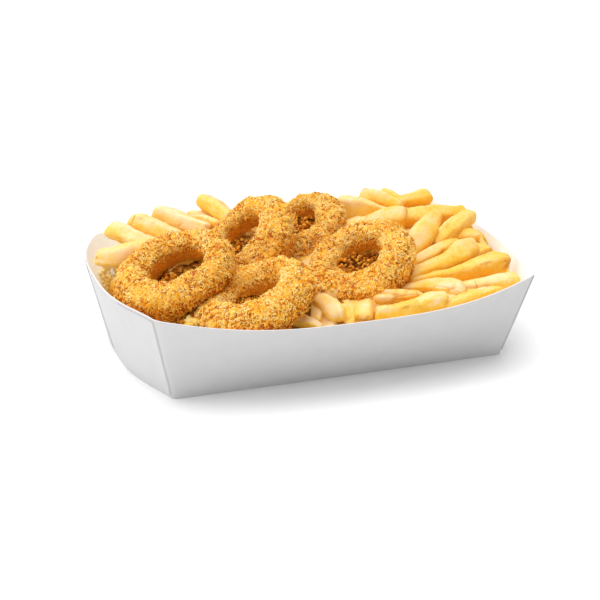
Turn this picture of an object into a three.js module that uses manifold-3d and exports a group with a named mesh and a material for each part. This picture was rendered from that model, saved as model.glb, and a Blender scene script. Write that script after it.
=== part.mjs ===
// Onion rings side: a folded paperboard tray heaped with thick-cut fries, and five breaded onion
// rings lying on them. Millimetres, +Z up. The origin is under the middle of the tray, on the
// surface it stands on; the tray's long sides run along X, and its front is the -Y side.
import * as THREE from 'three';
import { mergeVertices } from 'three/addons/utils/BufferGeometryUtils.js';
import Module from 'manifold-3d';

const wasm = await Module();
wasm.setup();

// ---------------------------------------------------------------- driving dimensions

const TRAY = {
  rimLength: 208,        // corner to corner along X
  rimWidth: 141,         // corner to corner along Y
  baseLength: 184.4,     // between the end folds
  baseWidth: 115.4,      // between the side folds
  slant: 51.4,           // fold to rim, up each wall
  board: 0.9,            // paperboard thickness
  cornerTip: 0.022,      // share of a wall taken by each rounded corner
};

const WALL_LEVELS = [0, 0.5, 1];  // shares of the walls' height where their net has loops

// The walls, anticlockwise from the front left corner. Each one bows out between its corners, by
// `bow` at the rim and by `foldBow` at its fold, and its rim is cut `dip` lower in the middle;
// `skew` above 1 moves the fullest point of the bow towards the tray's back.
const WALLS = [
  { side: 'front', bow: 16.7, foldBow: 0, dip: 0, skew: 1, columns: 16 },
  { side: 'right', bow: 13.2, foldBow: 13, dip: 4.9, skew: 1.7, columns: 11 },
  { side: 'back', bow: 16.7, foldBow: 0, dip: 0, skew: 1, columns: 16 },
  { side: 'left', bow: 13.6, foldBow: 15, dip: 4, skew: 1.35, columns: 11 },
];

// The long walls' glue flaps lie on the outside of the end walls, one at each corner.
const FLAP = { proud: 0.5, sunk: 0.3, rimShare: 0.27, baseShare: 0.4, foot: 0.05, head: 0.97 };

// A fry's section is a square with its corners taken off; `corner` is its half diagonal for a width
// of one, and `chamfer` half the angle of the cut. Its end faces are `blunt` as wide as its body,
// which they reach after `cap` of its width.
const FRY = { corner: 0.54, chamfer: 11, blunt: 0.66, cap: 0.3, roll: 20 };
const CLEARANCE = 0.45;  // between pieces that touch
const RING_SIDES = { around: 36, section: 12 };
const BED_SIDES = { around: 18, section: 8 };  // of the hollow that a ring leaves in the fries
const RING_BED = 1.8;    // how much fatter than the ring that hollow is

// Onion rings, lowest first. `at` is the middle of the hole; the ring leans by `lean` degrees
// towards the heading `towards` (0 is +X, 90 is +Y). `radius` is that of the tube's centre line,
// `tube` the tube's own; `oval` stretches the ring along the heading `ovalTo`, and `fat` thickens
// its tube on the side of the heading `fatTo`. `under` names the ring that presses on this one.
const RINGS = [
  { name: 'ring_1', at: [-77.5, -13.5, 52], lean: 22, towards: 203, radius: 24.3, tube: 7.9,
    oval: 0.03, ovalTo: 20, fat: 0.15, fatTo: 195, under: 'ring_2' },
  { name: 'ring_2', at: [-44.5, -48.5, 44.5], lean: 25, towards: 176, radius: 23.4, tube: 9,
    oval: 0.03, ovalTo: 165, fat: 0.12, fatTo: 150 },
  { name: 'ring_3', at: [-32, 16, 52], lean: 45, towards: 192, radius: 23.6, tube: 8,
    oval: 0.03, ovalTo: 0, fat: 0.2, fatTo: 265 },
  { name: 'ring_4', at: [4.5, 33, 50.7], lean: 30, towards: 195, radius: 22.5, tube: 7.6,
    oval: 0.04, ovalTo: 40, fat: 0.15, fatTo: 230 },
  { name: 'ring_5', at: [21, -27.5, 50], lean: 27, towards: 202, radius: 22.4, tube: 8.5,
    oval: 0.03, ovalTo: 60, fat: 0.08, fatTo: 240 },
];

// ---------------------------------------------------------------- numbers and noise

const radians = THREE.MathUtils.degToRad;
const { smoothstep } = THREE.MathUtils;
const mix = (a, b, t) => a + (b - a) * t;

// Seeded random numbers from 0 to 1.
function randomFrom(seed) {
  let state = seed;
  return () => {
    state = (state + 0x6d2b79f5) | 0;
    let t = Math.imul(state ^ (state >>> 15), 1 | state);
    t = (t + Math.imul(t ^ (t >>> 7), 61 | t)) ^ t;
    return ((t ^ (t >>> 14)) >>> 0) / 4294967296;
  };
}

// A value from -1 to 1 for each corner of a whole-number lattice.
function latticeValue(x, y, z) {
  let h = Math.imul(x, 374761393) ^ Math.imul(y, 668265263) ^ Math.imul(z, 2147483647);
  h = Math.imul(h ^ (h >>> 13), 1274126177);
  return ((h ^ (h >>> 16)) & 0xffff) / 32767.5 - 1;
}

// Smooth noise from -1 to 1, its lumps about one unit across.
function noise(p) {
  const cell = [Math.floor(p.x), Math.floor(p.y), Math.floor(p.z)];
  const ease = [p.x - cell[0], p.y - cell[1], p.z - cell[2]].map((t) => t * t * (3 - 2 * t));
  let sum = 0;
  for (const dx of [0, 1]) {
    for (const dy of [0, 1]) {
      for (const dz of [0, 1]) {
        const share = (dx ? ease[0] : 1 - ease[0]) * (dy ? ease[1] : 1 - ease[1])
          * (dz ? ease[2] : 1 - ease[2]);
        sum += share * latticeValue(cell[0] + dx, cell[1] + dy, cell[2] + dz);
      }
    }
  }
  return sum;
}

// ---------------------------------------------------------------- solids from loops of points

// A closed solid skinned over a stack of loops with equal numbers of points: the four-sided faces
// between them are split along their shorter diagonals, and each end is a fan to its middle.
function loft(loops) {
  const count = loops[0].length;
  const points = loops.flat();
  const faces = [];
  for (let i = 0; i < loops.length - 1; i += 1) {
    for (let j = 0; j < count; j += 1) {
      const a = i * count + j;
      const b = i * count + ((j + 1) % count);
      const [c, d] = [b + count, a + count];
      const splitByAC = points[a].distanceTo(points[c]) < points[b].distanceTo(points[d]);
      faces.push(...(splitByAC ? [a, b, c, a, c, d] : [a, b, d, b, c, d]));
    }
  }
  for (const end of [0, loops.length - 1]) {
    const middle = new THREE.Vector3();
    loops[end].forEach((p) => middle.addScaledVector(p, 1 / count));
    points.push(middle);
    for (let j = 0; j < count; j += 1) {
      const a = end * count + j;
      const b = end * count + ((j + 1) % count);
      faces.push(points.length - 1, ...(end === 0 ? [b, a] : [a, b]));
    }
  }
  return solidOf(points, faces);
}

// A solid from a closed net of triangles, its faces turned outwards whichever way they were wound.
function solidOf(points, faces) {
  let volume = 0;
  for (let i = 0; i < faces.length; i += 3) {
    const [a, b, c] = faces.slice(i, i + 3).map((k) => points[k]);
    volume += a.dot(b.clone().cross(c));
  }
  const geometry = new THREE.BufferGeometry().setFromPoints(points);
  geometry.setIndex(volume < 0 ? faces.slice().reverse() : faces);
  return toManifold(mergeVertices(geometry, 1e-4));
}

function toManifold(geometry) {
  return new wasm.Manifold(new wasm.Mesh({
    numProp: 3,
    vertProperties: new Float32Array(geometry.attributes.position.array),
    triVerts: new Uint32Array(geometry.index.array),
  }));
}

// The mesh of a solid's largest piece: sealed hollows and loose scraps are left behind.
function toMesh(name, solid, look) {
  const pieces = solid.decompose();
  pieces.sort((a, b) => b.volume() - a.volume());
  const made = pieces[0].getMesh();
  const geometry = new THREE.BufferGeometry();
  geometry.setAttribute('position', new THREE.BufferAttribute(made.vertProperties, 3));
  geometry.setIndex(new THREE.BufferAttribute(made.triVerts, 1));
  const mesh = new THREE.Mesh(geometry, new THREE.MeshStandardMaterial({ metalness: 0, ...look }));
  mesh.name = name;
  return mesh;
}

// ---------------------------------------------------------------- tray

const BOARD_WHITE = { color: 0xf2f1ef, roughness: 0.55 };

// Where the tray's corners stand in plan, anticlockwise from the front left one.
function trayCorners(length, width) {
  const signs = [[-1, -1], [1, -1], [1, 1], [-1, 1]];
  return signs.map(([sx, sy]) => new THREE.Vector3(sx * length / 2, sy * width / 2, 0));
}

const BASE_CORNERS = trayCorners(TRAY.baseLength, TRAY.baseWidth);
const RIM_CORNERS = trayCorners(TRAY.rimLength, TRAY.rimWidth);

// How full the bow of a wall is at the share u of its length: 0 at the corners, 1 at its peak.
function swell(wall, u) {
  const fromFront = wall.side === 'left' ? 1 - u : u;
  return 1 - Math.abs(2 * fromFront ** wall.skew - 1) ** 3;
}

// A point on a wall's outer face, u of the way along it and v of the way up from its fold.
// Leaning further out brings the rim lower, because the board keeps its width.
function wallPoint(index, u, v) {
  const wall = WALLS[index];
  const next = (index + 1) % WALLS.length;
  const fold = BASE_CORNERS[index].clone().lerp(BASE_CORNERS[next], u);
  const rim = RIM_CORNERS[index].clone().lerp(RIM_CORNERS[next], u);
  const along = BASE_CORNERS[next].clone().sub(BASE_CORNERS[index]).normalize();
  const outward = new THREE.Vector3(along.y, -along.x, 0);
  const full = swell(wall, u);
  fold.addScaledVector(outward, wall.foldBow * full);
  rim.addScaledVector(outward, wall.bow * full);
  const lean = rim.clone().sub(fold).dot(outward);
  rim.z = Math.sqrt((TRAY.slant - wall.dip * full) ** 2 - lean ** 2);
  return fold.lerp(rim, v);
}

// The outline of the tray at the share v of the walls' height, its corners a little rounded.
function trayLoop(v) {
  const loop = [];
  WALLS.forEach((wall, index) => {
    const tip = TRAY.cornerTip;
    for (let i = 0; i <= wall.columns; i += 1) {
      loop.push(wallPoint(index, mix(tip, 1 - tip, i / wall.columns), v));
    }
    const corner = wallPoint(index, 1, v);
    const before = wallPoint(index, 1 - tip, v);
    const after = wallPoint((index + 1) % WALLS.length, tip, v);
    for (const t of [1 / 3, 2 / 3]) {
      const bend = new THREE.QuadraticBezierCurve3(before, corner, after);
      loop.push(bend.getPoint(t));
    }
  });
  return loop;
}

// A loop moved outwards in plan by `distance`, or inwards where that is negative.
function offsetLoop(loop, distance) {
  return loop.map((point, i) => {
    const before = loop[(i + loop.length - 1) % loop.length];
    const after = loop[(i + 1) % loop.length];
    const coming = point.clone().sub(before).setZ(0).normalize();
    const going = after.clone().sub(point).setZ(0).normalize();
    const along = coming.clone().add(going).normalize();
    const reach = distance / along.dot(going);
    return new THREE.Vector3(point.x + along.y * reach, point.y - along.x * reach, point.z);
  });
}

// The tray's inner face at the share v of the walls' height, kept `gap` away from the board.
function innerLoop(v, gap = 0) {
  const steep = TRAY.slant / wallPoint(0, 0, 1).z;
  return offsetLoop(trayLoop(v), -(TRAY.board + gap) * steep);
}

// Every third point of a loop, for solids that need fewer sides than the tray.
const thinned = (loop) => loop.filter((point, i) => i % 3 === 0);

const atHeight = (loop, z) => loop.map((point) => new THREE.Vector3(point.x, point.y, z));

// One glue flap: a thin patch on an end wall, widening towards the base.
function flap(index, fromCorner) {
  const outer = [];
  const inner = [];
  const columns = 5;
  for (let i = 0; i <= columns; i += 1) {
    for (const [row, v] of [FLAP.foot, 0.5, FLAP.head].entries()) {
      const share = mix(FLAP.baseShare, FLAP.rimShare, v) * mix(TRAY.cornerTip, 1, i / columns);
      const u = fromCorner === 'first' ? share : 1 - share;
      const point = wallPoint(index, u, v);
      const away = new THREE.Vector3(Math.sign(point.x), 0, 0);
      outer[row] ??= [];
      inner[row] ??= [];
      outer[row].push(point.clone().addScaledVector(away, FLAP.proud));
      inner[row].push(point.clone().addScaledVector(away, -FLAP.sunk));
    }
  }
  return loft(outer.map((row, k) => [...row, ...inner[k].slice().reverse()]));
}

function buildTray() {
  const bottomOfInside = TRAY.board / wallPoint(0, 0, 1).z;
  const outside = WALL_LEVELS.map((v) => trayLoop(v));
  const inside = WALL_LEVELS.map((v) => innerLoop(Math.max(v, bottomOfInside))).reverse();
  inside[inside.length - 1] = atHeight(inside[inside.length - 1], TRAY.board);
  let tray = loft([...outside, ...inside]);
  for (const index of [1, 3]) {
    for (const corner of ['first', 'last']) {
      tray = tray.add(flap(index, corner));
    }
  }
  return toMesh('tray', tray, BOARD_WHITE);
}

// ---------------------------------------------------------------- onion rings

const BREADING = { color: 0xc98a3e, roughness: 0.85 };
const CRAGS = { height: 0.75, lump: 5.5 };
const SECTION_RISE = 1.08;  // how much taller than wide the tube's section is
const FLAT_EYE = 0.65;      // under 1 makes the tube's side at the eye a flatter wall

// A point on a ring's skin: `turn` goes round the ring from the heading it leans towards, and
// `roll` goes round the tube from its outermost line.
function ringPoint(ring, turn, roll, grow) {
  const heading = turn + radians(ring.towards);
  const stretch = 1 + ring.oval * Math.cos(2 * (heading - radians(ring.ovalTo)));
  const thick = ring.tube * (1 + ring.fat * Math.cos(heading - radians(ring.fatTo)));
  const across = Math.cos(roll);
  const reach = ring.radius * stretch
    + thick * (across < 0 ? -(Math.abs(across) ** FLAT_EYE) : across);
  const point = new THREE.Vector3(reach * Math.cos(turn), reach * Math.sin(turn),
    thick * SECTION_RISE * Math.sin(roll));
  const out = new THREE.Vector3(Math.cos(roll) * Math.cos(turn), Math.cos(roll) * Math.sin(turn),
    Math.sin(roll));
  const place = point.clone().addScalar(ring.at[0]).divideScalar(CRAGS.lump);
  return point.addScaledVector(out, grow ? grow : CRAGS.height * noise(place));
}

// A ring's skin as a closed net of points, lying where the ring lies. `grow` gives a plain ring,
// that much thicker all round, in place of the craggy one.
function ringSolid(ring, grow = 0) {
  const { around, section } = grow ? BED_SIDES : RING_SIDES;
  const tip = new THREE.Matrix4().makeRotationY(radians(ring.lean));
  const head = new THREE.Matrix4().makeRotationZ(radians(ring.towards));
  const place = new THREE.Matrix4().makeTranslation(...ring.at).multiply(head).multiply(tip);
  const points = [];
  const faces = [];
  for (let i = 0; i < around; i += 1) {
    for (let j = 0; j < section; j += 1) {
      const turn = (i / around) * 2 * Math.PI;
      const roll = ((j + (i % 2) / 2) / section) * 2 * Math.PI;
      points.push(ringPoint(ring, turn, roll, grow).applyMatrix4(place));
      const nextRow = ((i + 1) % around) * section;
      const a = i * section + j;
      const b = i * section + ((j + 1) % section);
      const c = nextRow + j;
      const d = nextRow + ((j + 1) % section);
      faces.push(...(i % 2 ? [a, d, b, a, c, d] : [a, c, b, b, c, d]));
    }
  }
  return solidOf(points, faces);
}

// A whole ring, pressed in where the ring that it lies under touches it.
function buildRing(ring) {
  let solid = ringSolid(ring);
  const above = RINGS.find(({ name }) => name === ring.under);
  if (above) {
    solid = solid.subtract(ringSolid(above, RING_BED));
  }
  return toMesh(ring.name, solid, BREADING);
}

// ---------------------------------------------------------------- fries

const FRIED = { color: 0xf0c467, roughness: 0.6 };
const HEAP = {
  left: 41,              // level of the left part
  right: 46,             // level of the right part
  climb: [-25, 10],      // X from where to where the one passes into the other
  fall: 26,              // how far the left end drops
  fallFrom: [78, 106],   // distances to the left where that drop starts and ends
  slope: 0.08,           // rise towards the back
  shoulder: 5,           // drop at the walls
  reach: [112, 84],      // half lengths of the heap along X and Y
  lump: [1.6, 14],       // height and width of the lumps in its surface
  floor: 0.4,            // gap over the tray's base
  gap: 2.5,              // gap to the tray's walls
};

// Height of the bare heap over the point (x, y): it climbs to the back and the right, and falls
// off to the walls, most of all at the left end.
function heapHeight(x, y) {
  const level = mix(HEAP.left, HEAP.right, smoothstep(x, ...HEAP.climb))
    - HEAP.fall * smoothstep(-x, ...HEAP.fallFrom) + HEAP.slope * y;
  const edge = (x / HEAP.reach[0]) ** 4 + (y / HEAP.reach[1]) ** 4;
  const [height, width] = HEAP.lump;
  const lumps = height * noise(new THREE.Vector3(x / width, y / width, 0.5));
  return level - HEAP.shoulder * edge + lumps;
}

// The heap under the fries that show: it fills the tray up to the height of its surface, and up
// to its brim along the walls.
function heapCore() {
  const floor = TRAY.board + HEAP.floor;
  const low = thinned(innerLoop(0, HEAP.gap));
  const high = thinned(innerLoop(1, HEAP.gap));
  const brims = high.map((p, i) => {
    const shoulder = low[i].clone().lerp(p, 0.8);
    return Math.min(shoulder.z - 3, heapHeight(shoulder.x, shoulder.y));
  });
  const loops = [0, 0.5, 1].map((share) => high.map((p, i) => (
    low[i].clone().lerp(p, mix(floor, brims[i], share) / p.z))));
  const top = loops[loops.length - 1];
  for (const share of [0.9, 0.74, 0.54, 0.36, 0.18]) {
    loops.push(top.map((p) => {
      const x = p.x * share;
      const y = p.y * share;
      return new THREE.Vector3(x, y, heapHeight(x, y));
    }));
  }
  return loft(loops);
}

// All the room that food may take: inside the walls, and free above the rim, from where it flares
// out over `rise` and goes straight up to `top`. Its net runs the same way as the tray's, so that
// the two keep their distance.
const ROOM = { flare: 12, rise: 12, top: 130 };
function roomForFood() {
  const floor = TRAY.board + HEAP.floor;
  const lowest = floor / wallPoint(0, 0, 1).z;
  const inside = WALL_LEVELS.map((v) => innerLoop(Math.max(v, lowest), CLEARANCE)).reverse();
  inside[inside.length - 1] = atHeight(inside[inside.length - 1], floor);
  const overRim = offsetLoop(inside[0], ROOM.flare).map((p) => p.setZ(p.z + ROOM.rise));
  return loft([atHeight(overRim, ROOM.top), overRim, ...inside]);
}

// One fry: a soft-edged square bar along a path of [x, y, z, width], from its blunt tip back to
// where it goes out of sight.
function fry({ path, roll = FRY.roll }) {
  const places = path.map(([x, y, z]) => new THREE.Vector3(x, y, z));
  const last = places.length - 1;
  const stations = path.map(([, , , width], i) => ({ at: places[i], width }));
  const ahead = places[1].clone().sub(places[0]).normalize();
  stations[0] = { at: places[0], width: path[0][3] * FRY.blunt };
  stations.splice(1, 0, {
    at: places[0].clone().addScaledVector(ahead, path[0][3] * FRY.cap), width: path[0][3],
  });
  const loops = stations.map(({ at, width }, i) => {
    const k = Math.max(i - 1, 0);
    const along = places[Math.min(k + 1, last)].clone().sub(places[Math.max(k - 1, 0)]).normalize();
    const side = new THREE.Vector3(along.y, -along.x, 0).normalize();
    const up = side.clone().cross(along);
    return [...Array(8).keys()].map((j) => {
      const angle = radians(22.5 + 45 * j + (j % 2 ? -FRY.chamfer : FRY.chamfer) + roll);
      return at.clone()
        .addScaledVector(side, FRY.corner * width * Math.cos(angle))
        .addScaledVector(up, FRY.corner * width * Math.sin(angle));
    });
  });
  return loft(loops);
}

// The fries that fan out from under the rings, each as the path along its middle: x, y, z and the
// fry's width there.
const RIGHT_FAN = [
  [[36.5, 54, 57, 11], [42, 51, 57, 12.5], [50, 47, 56.5, 11], [59.5, 41, 55, 7.5], [65, 39, 54, 6]],
  [[56, 65, 58, 9.5], [60, 60.5, 58, 11], [67, 54, 57, 10], [74, 44.5, 55.5, 5.5]],
  [[71.5, 68.5, 59, 4], [73, 58, 59, 5], [76, 45.5, 57.5, 4]],
  [[97.5, 58.5, 55, 9.5], [91, 57.5, 55.5, 10], [83, 56, 55.5, 8], [68, 56.5, 55, 6]],
  [[67, 20, 57, 13], [60.5, 22, 57, 11.5], [49, 23.5, 56, 8], [25.5, 20, 54.5, 5.5]],
  [[108, 28, 54, 7], [96, 27, 54, 10], [81, 25.5, 54.5, 12], [65.5, 26, 54, 11],
   [52.5, 24.5, 53.5, 10]],
  [[87.5, 23, 57, 6], [75.5, 7, 56, 12], [64, -7.5, 54, 13.5], [51, -15.5, 48, 12.5]],
  [[106.5, 16, 56, 8], [97.5, 9, 56, 9.5], [87.5, 1.5, 54, 10.5], [72.5, -6.5, 48, 9.5]],
  [[102.5, -4, 50, 5.5], [97, -2.5, 50, 7], [81, 5, 48.5, 7]],
  [[86, -12, 51, 4.5], [80.5, -14.5, 51, 6], [71.5, -18.5, 50, 7.5], [60.5, -23.5, 48.5, 7],
   [41.5, -30.5, 45, 5.5]],
  [[90, -23, 51, 9.5], [79.5, -30, 51, 13], [66.5, -37, 49.5, 10], [53.5, -39.5, 47.5, 8],
   [33.5, -42.5, 44, 5.5]],
  [[99.5, -23.5, 48, 7.5], [92, -24.5, 48, 8.5], [72, -33.5, 46.5, 7.5]],
  [[101.5, -43, 47, 10.5], [94, -42, 47, 12.5], [83, -43.5, 46.5, 10], [68.5, -46, 45.5, 7.5],
   [42.5, -44.5, 43.5, 5]],
  [[66.5, -65.5, 42.5, 8], [61, -60, 42.5, 10.5], [51, -53, 43, 7], [39, -51, 43, 4],
   [31.5, -47.5, 42.5, 3.5]],
  [[98.5, -61.5, 44, 8], [91, -60.5, 44, 8.5], [79.5, -60, 43.5, 7.5], [66, -58, 42, 7]],
  [[91, -61, 41.5, 4.5], [73, -68.5, 41, 6.5], [58, -71, 39.5, 6.5], [45, -71, 37, 5]],
  [[41, -61, 42.5, 4], [30.5, -60.5, 42.5, 6.5], [22.5, -59.5, 42.5, 8.5], [19, -54, 41, 8]],
  [[12, -72, 39, 8], [23, -73, 39.5, 8.5], [41.5, -69.5, 39.5, 8]],
  [[53, -70.5, 42, 7.5], [46.5, -70.5, 42, 10], [36.5, -71, 40.5, 8], [21, -68, 36.5, 6]],
];

const LEFT_FAN = [
  [[-110, 25, 51.5, 10.5], [-106.5, 20.5, 52, 12], [-92.5, 20, 54, 12], [-73, 19.5, 56, 10]],
  [[-99.5, 60, 55, 8], [-95.5, 55.5, 55, 11], [-89.5, 45, 54, 11], [-79.5, 35, 50, 9.5]],
  [[-84, 70.5, 56, 7], [-79.5, 64.5, 56, 9.5], [-73, 54, 55, 10.5], [-63.5, 39.5, 52, 9]],
  [[-69.5, 72, 58, 7.5], [-65, 67.5, 58, 9.5], [-58, 56, 57, 10], [-46, 41, 55, 8]],
  [[-53, 61.5, 56, 4.5], [-46, 56, 57, 5.5], [-38.5, 43.5, 57, 5]],
  [[-41, 73.5, 63, 9], [-39, 64.5, 63, 11], [-35, 55, 61.5, 10.5], [-31, 42.5, 59, 9]],
];

const FRONT_PIECES = [
  [[6.5, -71.5, 36, 10.5], [9.5, -63.5, 36.5, 12], [20, -38.5, 32, 11.5]],
  [[-7.5, -70.5, 38.5, 8], [-7.5, -64.5, 40, 10], [-9, -52, 40.5, 10], [-11.5, -36, 40, 8.5]],
  [[-18.5, -67, 37, 6], [-13.5, -56, 37, 7], [-5, -36.5, 36, 7]],
  [[-17.5, -73.5, 36.5, 3], [-21, -70, 37.5, 5], [-24.5, -64, 37, 7], [-29.5, -55.5, 36, 7]],
  [[-1.5, -69, 35, 6.5], [1, -61, 36, 7], [8, -40, 34, 6.5]],
];

// Fries in the gaps between the rings, beside them, and under the ones on top.
const IN_GAPS = [
  [[88, 34, 47, 11], [30, 22, 48, 11]],
  [[98, 24, 45, 11], [52, 50, 47, 11]],
  [[62, 10, 47, 11], [40, 52, 47, 11]],
  [[-14, -44, 43, 11], [1, 2, 42, 11]],
  [[-2, -50, 41, 11], [-30, -11, 42, 11]],
  [[40, 4, 47, 11], [-14, 14.5, 43.5, 11]],
  [[24, 68, 50, 11.5], [36, 65, 50, 11.5], [58, 55, 50, 11.5]],
  [[92, -54, 39.5, 9], [48, -66, 38, 9]],
  [[-90, 27, 46.5, 11], [-50, 29, 48, 11]],
  [[-86, 58, 47, 11], [-56, 34, 47, 11]],
  [[-62, 64, 49, 11], [-42, 30, 48, 11]],
  [[-50, 68, 53, 11], [-20, 54, 53, 11]],
  [[-100, -20, 28, 11], [-66, -31, 32, 11]],
];

// Fries at random with their tips near the back wall: a fan that comes down the back of the heap,
// and a row under it that lies along the wall.
function backFries() {
  const random = randomFrom(11);
  const pick = (low, high) => mix(low, high, random());
  const layers = [
    { count: 5, from: -28, to: 60, y: [64, 70], z: [49, 53], heading: [35, 145], length: [32, 40],
      fall: 9 },
    { count: 6, from: -52, to: 92, y: [70, 75], z: [37, 41], heading: [-9, 12], length: [42, 52],
      fall: -1 },
  ];
  return layers.flatMap((layer) => [...Array(layer.count).keys()].map((i) => {
    const x = mix(layer.from, layer.to, (i + random()) / layer.count);
    const tip = [x, pick(...layer.y), pick(...layer.z)];
    const heading = radians(pick(...layer.heading));
    const length = pick(...layer.length);
    const root = [x - length * Math.cos(heading), tip[1] - length * Math.sin(heading),
      tip[2] - layer.fall];
    const width = pick(10, 12);
    return { path: [[...tip, width], [...root, width]], roll: pick(0, 45) };
  }));
}

function buildFries() {
  let heap = heapCore();
  const placed = [RIGHT_FAN, LEFT_FAN, FRONT_PIECES, IN_GAPS].flat().map((path) => ({ path }));
  [...placed, ...backFries()].forEach((one) => {
    heap = heap.add(fry(one));
  });
  heap = heap.intersect(roomForFood());
  RINGS.forEach((ring) => {
    heap = heap.subtract(ringSolid(ring, RING_BED));
  });
  return toMesh('fries', heap, FRIED);
}

// ---------------------------------------------------------------- the whole side dish

const dish = new THREE.Group();
dish.add(buildTray());
RINGS.forEach((ring) => dish.add(buildRing(ring)));
dish.add(buildFries());

export default dish;
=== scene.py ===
# Onion rings side: a folded paperboard tray heaped with thick-cut fries, with five breaded onion
# rings on top. Sizes are in millimetres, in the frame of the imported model: +Z up, the origin under
# the middle of the tray, the tray's long sides along X and its front on the -Y side.
import itertools
import math

import bpy
import numpy as np
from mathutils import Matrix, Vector


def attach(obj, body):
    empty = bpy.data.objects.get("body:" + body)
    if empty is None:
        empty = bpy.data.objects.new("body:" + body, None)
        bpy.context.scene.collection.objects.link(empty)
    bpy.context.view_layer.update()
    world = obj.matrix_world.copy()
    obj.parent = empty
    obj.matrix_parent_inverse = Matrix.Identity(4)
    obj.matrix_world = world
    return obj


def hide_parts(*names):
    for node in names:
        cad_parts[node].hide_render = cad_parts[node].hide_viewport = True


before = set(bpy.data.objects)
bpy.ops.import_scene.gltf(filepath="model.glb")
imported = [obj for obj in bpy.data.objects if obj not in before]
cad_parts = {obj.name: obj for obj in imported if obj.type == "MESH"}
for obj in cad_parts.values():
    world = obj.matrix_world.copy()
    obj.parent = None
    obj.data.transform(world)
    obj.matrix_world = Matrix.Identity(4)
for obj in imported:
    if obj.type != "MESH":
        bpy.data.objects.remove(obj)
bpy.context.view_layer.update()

# ---------------------------------------------------------------------------------------- tray
# A shallow tray, die cut and creased from one blank of white coated paperboard. Its walls lean
# out and bow; the long walls' glue flaps lie on the outside of the end walls and are stuck there.

MM = 0.001
RIM_LENGTH, RIM_WIDTH = 208, 141      # corner to corner at the rim
BASE_LENGTH, BASE_WIDTH = 184.4, 115.4  # between the folds of the base
SLANT = 51.4                          # fold to rim, up each wall
BOARD = 0.9                           # paperboard thickness
CORNER_TIP = 0.022                    # share of a wall taken by each rounded corner
# Anticlockwise from the front: how far each wall bows out at its rim and at its fold, how much
# lower its rim is cut in the middle, and how far the fullest point lies towards the tray's back.
WALLS = [
    dict(side="front", bow=16.7, fold_bow=0, dip=0, skew=1),
    dict(side="right", bow=13.2, fold_bow=13, dip=4.9, skew=1.7),
    dict(side="back", bow=16.7, fold_bow=0, dip=0, skew=1),
    dict(side="left", bow=13.6, fold_bow=15, dip=4, skew=1.35),
]
WALL_COLUMNS = 44                     # points along each wall, between its rounded corners
WALL_ROWS = 14                        # points up each side of a wall
CORNER_STEPS = 7                      # points round each rounded corner, its two ends included


def box_corners(length, width):
    """The corners of a rectangle on the floor, anticlockwise from the front left one."""
    signs = np.array([(-1, -1, 0), (1, -1, 0), (1, 1, 0), (-1, 1, 0)])
    return signs * (length / 2, width / 2, 0)


BASE_CORNERS = box_corners(BASE_LENGTH, BASE_WIDTH)
RIM_CORNERS = box_corners(RIM_LENGTH, RIM_WIDTH)


def wall_points(index, u, v):
    """Points on a wall's outer face, u of the way along it and v of the way up from its fold."""
    wall = WALLS[index]
    u = np.atleast_1d(u)[:, None]
    v = np.broadcast_to(v, u.shape[:1])[:, None]
    start, end = BASE_CORNERS[index], BASE_CORNERS[(index + 1) % 4]
    rim_start, rim_end = RIM_CORNERS[index], RIM_CORNERS[(index + 1) % 4]
    ahead = (end - start) / np.linalg.norm(end - start)
    outward = np.array([ahead[1], -ahead[0], 0])
    from_front = 1 - u if wall["side"] == "left" else u
    swell = 1 - np.abs(2 * from_front ** wall["skew"] - 1) ** 3
    fold = start + (end - start) * u + outward * wall["fold_bow"] * swell
    rim = rim_start + (rim_end - rim_start) * u + outward * wall["bow"] * swell
    lean = (rim - fold) @ outward
    rim[:, 2] = np.sqrt((SLANT - wall["dip"] * swell[:, 0]) ** 2 - lean ** 2)
    return fold + (rim - fold) * v


def tray_loop(v):
    """The tray's outline at the share v of its walls' height, its corners a little rounded."""
    loop = []
    for index in range(4):
        loop.append(wall_points(index, np.linspace(CORNER_TIP, 1 - CORNER_TIP, WALL_COLUMNS), v))
        before = wall_points(index, 1 - CORNER_TIP, v)
        corner = wall_points(index, 1, v)
        after = wall_points((index + 1) % 4, CORNER_TIP, v)
        t = np.linspace(0, 1, CORNER_STEPS)[1:-1, None]
        loop.append(before * (1 - t) ** 2 + corner * 2 * t * (1 - t) + after * t ** 2)
    return np.concatenate(loop)


def unit(vectors):
    """Vectors brought to a length of one."""
    return vectors / np.linalg.norm(vectors, axis=1)[:, None]


def offset_loop(loop, distance):
    """A loop moved outwards in plan, or inwards where the distance is negative."""
    going = unit((np.roll(loop, -1, axis=0) - loop)[:, :2])
    ahead = unit(going + np.roll(going, 1, axis=0))
    reach = distance / (ahead * going).sum(axis=1)
    return loop + np.stack([ahead[:, 1] * reach, -ahead[:, 0] * reach, 0 * reach], axis=1)


RIM_HEIGHT = wall_points(0, 0, 1)[0, 2]
STEEP = SLANT / RIM_HEIGHT            # a wall's thickness level with the floor, per mm of board


def net_faces(rows, columns):
    """Four-sided faces between neighbouring rows of points, each row joined up to a loop."""
    row, column = np.meshgrid(np.arange(rows - 1), np.arange(columns), indexing="ij")
    beside = (column + 1) % columns
    corners = [row * columns + column, row * columns + beside,
               (row + 1) * columns + beside, (row + 1) * columns + column]
    return np.stack(corners, axis=-1).reshape(-1, 4)


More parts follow.
